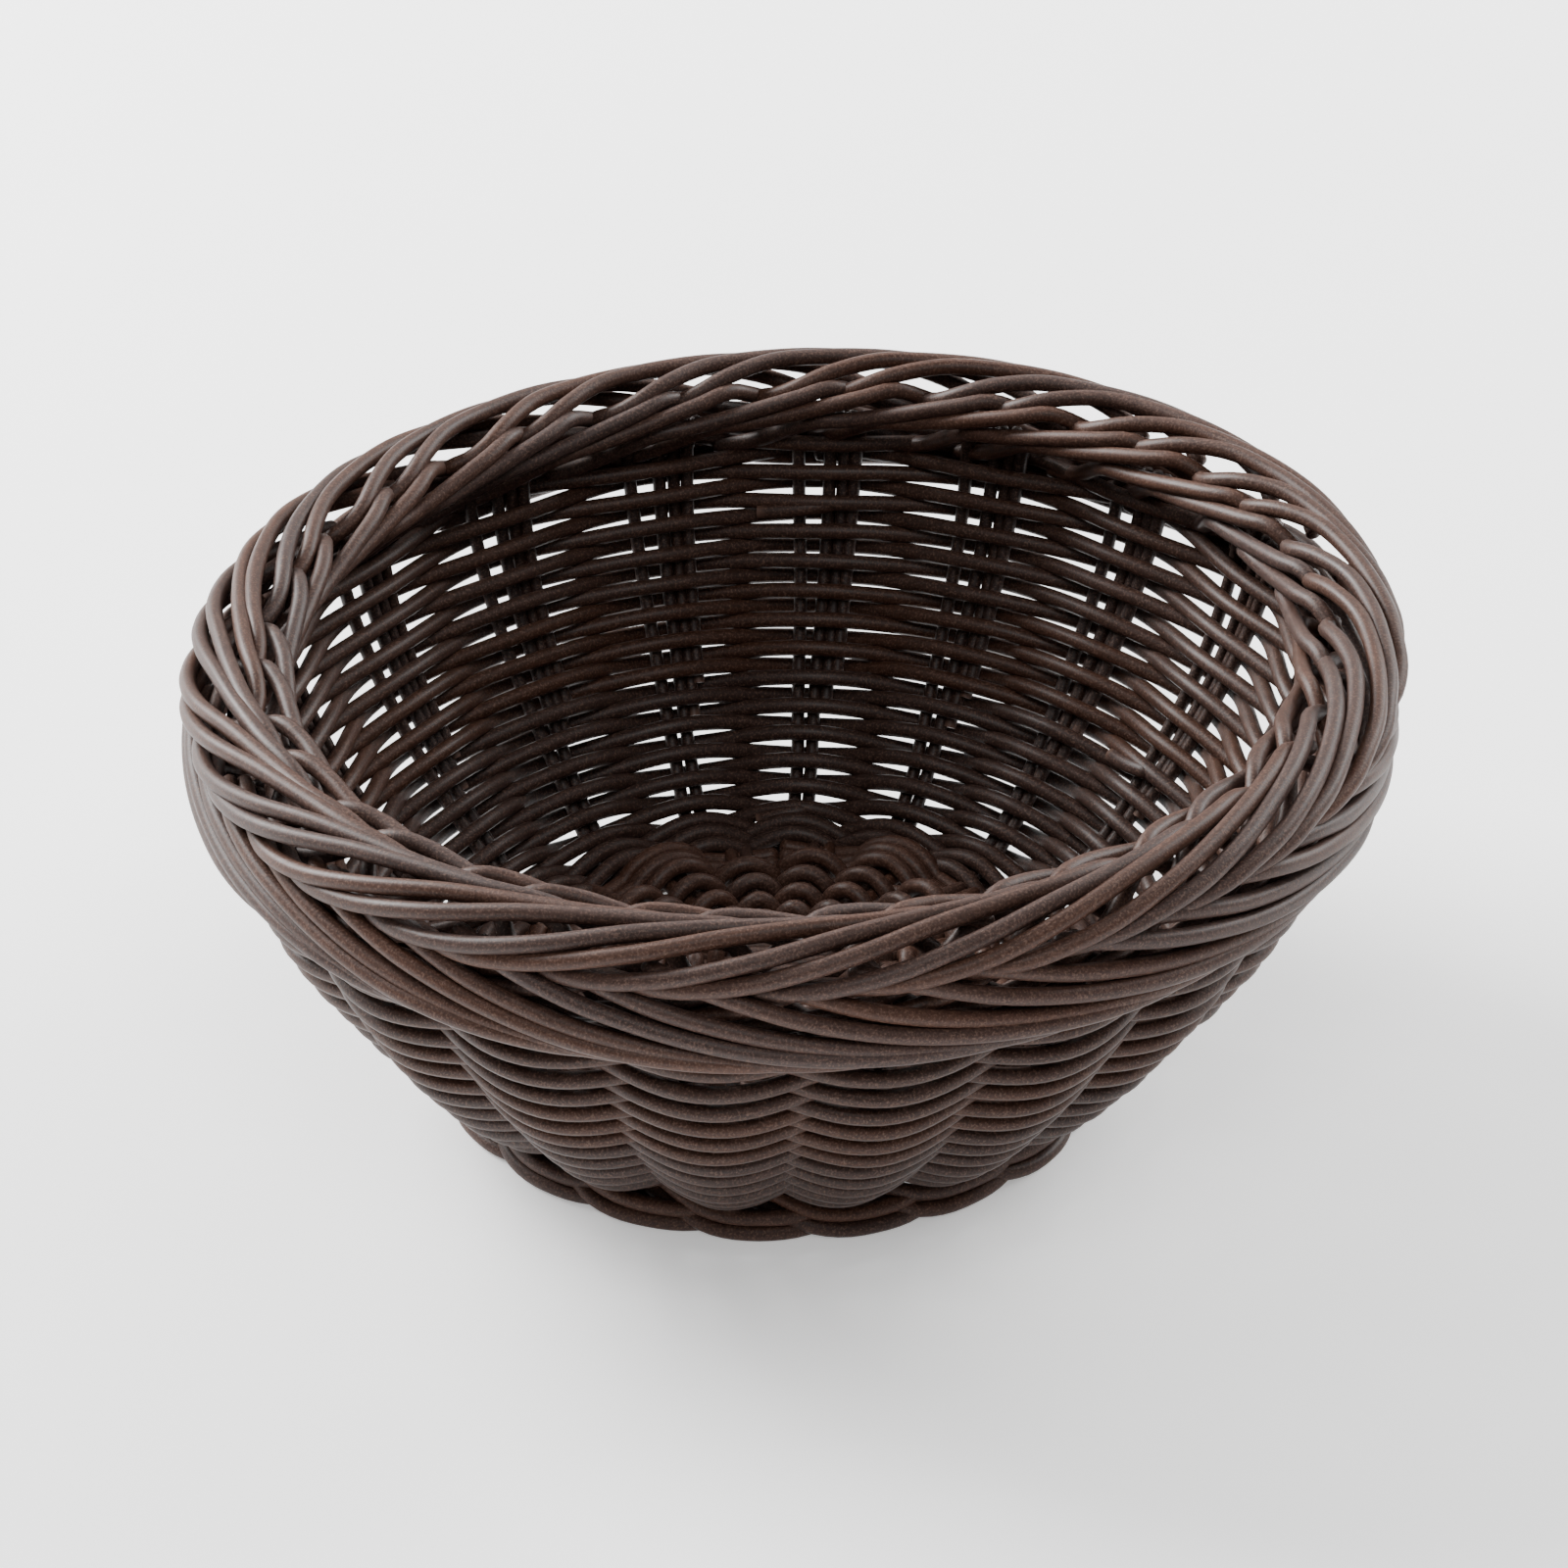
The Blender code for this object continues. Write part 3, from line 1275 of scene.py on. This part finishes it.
@dataclass(frozen=True)
class SoftBox:
    """One square soft light, aimed at the basket."""

    name: str
    place: tuple[float, float, float]
    size: float
    watts: float


@dataclass
class Studio:
    """A pale floor, soft light from all sides and the camera. Its sizes are in metres."""

    form: BasketForm
    camera_distance: float = 1.2
    camera_elevation: float = 30.47
    aim_down: float = 1.157
    aim_left: float = 0.093
    lens: float = 146.7
    sensor: float = 36.0
    floor_size: float = 12.0
    sky: float = 0.24
    floor_glow: float = 0.40
    floor_grain: float = 30.0
    boxes: tuple[SoftBox, ...] = (
        SoftBox("left_light", (-1.2, 0.8, 0.95), 0.9, 100.0),
        SoftBox("right_light", (1.2, 0.8, 0.9), 1.0, 42.0),
        SoftBox("back_light", (0.1, 1.3, 1.2), 1.2, 10.0),
        SoftBox("front_light", (0.0, -1.0, 1.35), 0.7, 11.0),
    )

    def build(self) -> None:
        """Build the floor, the light and the camera."""
        self.floor()
        self.world()
        for box in self.boxes:
            self.light(box)
        self.camera()

    def floor(self) -> None:
        """The plain pale floor."""
        bm = bmesh.new()
        bmesh.ops.create_grid(bm, x_segments=1, y_segments=1, size=self.floor_size / 2)
        mesh = bpy.data.meshes.new("floor")
        bm.to_mesh(mesh)
        bm.free()
        sketch = ShaderSketch("floor_paper")
        position = sketch.node("ShaderNodeTexCoord", {}, {}, "Object")
        paper = sketch.spread(sketch.grain(position, self.floor_grain, 2.0), 0.2, 0.8)
        colour = sketch.blend(paper, (0.95, 0.95, 0.95), (0.97, 0.97, 0.97))
        sketch.feed(sketch.shader.inputs["Base Color"], colour)
        sketch.feed(sketch.shader.inputs["Emission Color"], colour)
        sketch.shader.inputs["Emission Strength"].default_value = self.floor_glow
        sketch.shader.inputs["Roughness"].default_value = 0.9
        mesh.materials.append(sketch.material)
        floor = bpy.data.objects.new("floor", mesh)
        bpy.context.scene.collection.objects.link(floor)

    def world(self) -> None:
        """Even pale light from the whole room."""
        world = bpy.data.worlds.new("studio_room")
        bpy.context.scene.world = world
        world.use_nodes = True
        background = world.node_tree.nodes["Background"]
        background.inputs["Color"].default_value = (1.0, 1.0, 1.0, 1.0)
        background.inputs["Strength"].default_value = self.sky

    def light(self, box: SoftBox) -> None:
        """One soft box, aimed at the basket's middle.

        Args:
            box: the soft box.
        """
        lamp = bpy.data.lights.new(box.name, "AREA")
        lamp.energy = box.watts
        lamp.size = box.size
        holder = bpy.data.objects.new(box.name, lamp)
        holder.location = box.place
        aim = Vector((0.0, 0.0, self.form.rim_height * METRES / 2)) - Vector(box.place)
        holder.rotation_euler = aim.to_track_quat("-Z", "Y").to_euler()
        bpy.context.scene.collection.objects.link(holder)

    def camera(self) -> None:
        """The camera, in front of the basket and above it."""
        lens = bpy.data.cameras.new("camera")
        lens.lens = self.lens
        lens.sensor_width = self.sensor
        camera = bpy.data.objects.new("camera", lens)
        tilt = math.radians(self.camera_elevation)
        target = Vector((0.0, 0.0, self.form.rim_height * METRES))
        camera.location = target + self.camera_distance * Vector((0.0, -math.cos(tilt), math.sin(tilt)))
        pitch = math.radians(90 - self.camera_elevation - self.aim_down)
        camera.rotation_euler = (pitch, 0.0, math.radians(self.aim_left))
        bpy.context.scene.collection.objects.link(camera)
        bpy.context.scene.camera = camera


# --------------------------------------------------------------------------------------------------
# Making
# --------------------------------------------------------------------------------------------------


def main() -> None:
    """Build the basket and its studio in order, and report each piece."""
    logging.basicConfig(level=logging.INFO, format="%(name)s: %(message)s")
    noise.seed_set(HAND_SEED)
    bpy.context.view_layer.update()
    form = BasketForm.from_frame(frame["nodes"])
    assemblies = (
        (StakeGroups(form), Finish.STAKE),
        (WallWeave(form), Finish.WEAVER),
        (Border(form), Finish.BORDER),
        (Foot(form), Finish.BASE),
        (Base(form), Finish.BASE),
    )
    for assembly, finish in assemblies:
        for piece in assembly.build(finish):
            report(piece)
    Studio(form).build()


if __name__ == "__main__":
    main()
